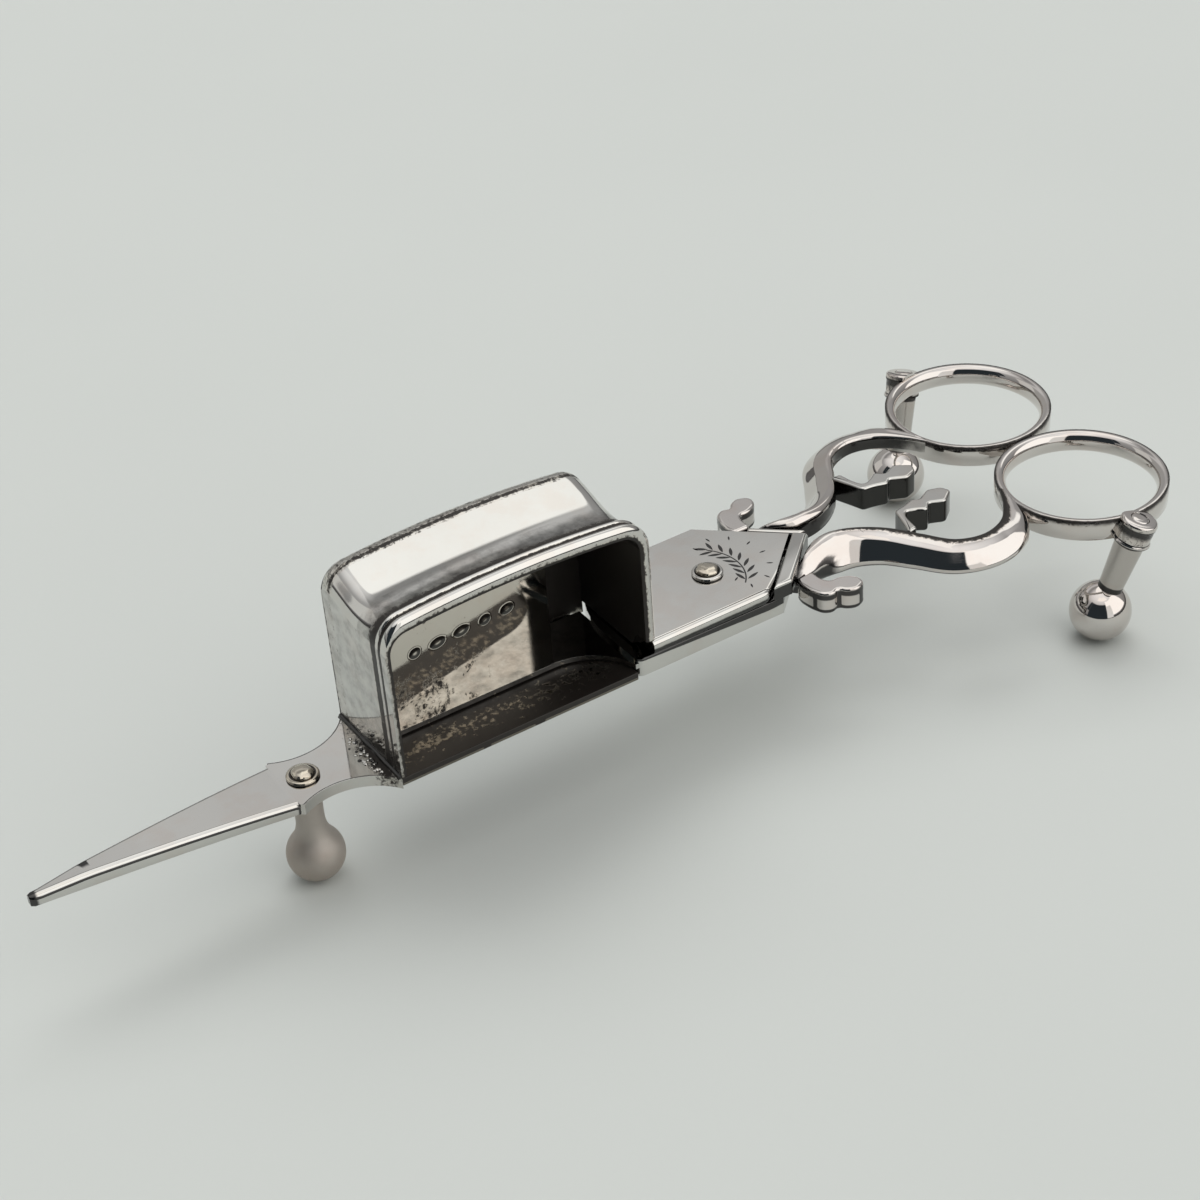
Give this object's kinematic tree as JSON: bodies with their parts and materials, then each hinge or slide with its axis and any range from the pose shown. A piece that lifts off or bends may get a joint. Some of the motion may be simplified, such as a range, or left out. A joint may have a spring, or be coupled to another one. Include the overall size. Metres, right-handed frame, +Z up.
{
  "type": "candle snuffer scissors",
  "caption": "Polished silver candle snuffer scissors with a pricket point, arched snuff box, press blade, finger rings with scrolls and spurs, and ball feet.",
  "frame": {"origin": "on the table, under the middle of the length and width of the closed snuffers", "axes": "+X from the pricket point towards the finger rings, +Y away from the open mouth of the snuff box, +Z up"},
  "size_m": [0.1858, 0.0626, 0.045],
  "materials": {
    "silver": "mirror-polished silver with light scratches and dark tarnish in the corners",
    "pale_silver": "paler, softly hammered silver on the burred rivets and the cast front foot",
    "sooty_silver": "silver dulled by soot and tarnish inside the snuff box"
  },
  "bodies": {
    "thumb_arm": {"pricket_point": "silver", "front_foot": "pale_silver", "front_foot_rose": "pale_silver", "box_floor": "sooty_silver", "box_bead": "sooty_silver", "box_shell": "silver", "box_lip": "silver", "upper_joint_plate": "silver", "pivot_rivet": "pale_silver", "pivot_rose_upper": "silver", "pivot_rose_lower": "silver", "thumb_shoulder": "silver", "thumb_handle": "silver", "thumb_scroll": "silver", "thumb_spur": "silver", "thumb_ring": "silver", "thumb_leg_socket": "silver", "thumb_leg_post": "silver", "thumb_leg_ball": "silver"},
    "finger_arm": {"press_blade": "silver", "press_plate": "sooty_silver", "finger_shoulder": "silver", "finger_handle": "silver", "finger_scroll": "silver", "finger_spur": "silver", "finger_ring": "silver", "finger_leg_socket": "silver", "finger_leg_post": "silver", "finger_leg_ball": "silver"}
  },
  "joints": [
    {"name": "arm_pivot", "type": "hinge", "parent": "thumb_arm", "child": "finger_arm", "pos_m": [0.0175, 0, 0.02], "axis": [0, 0, 1], "range_deg": [0, 40]}
  ]
}
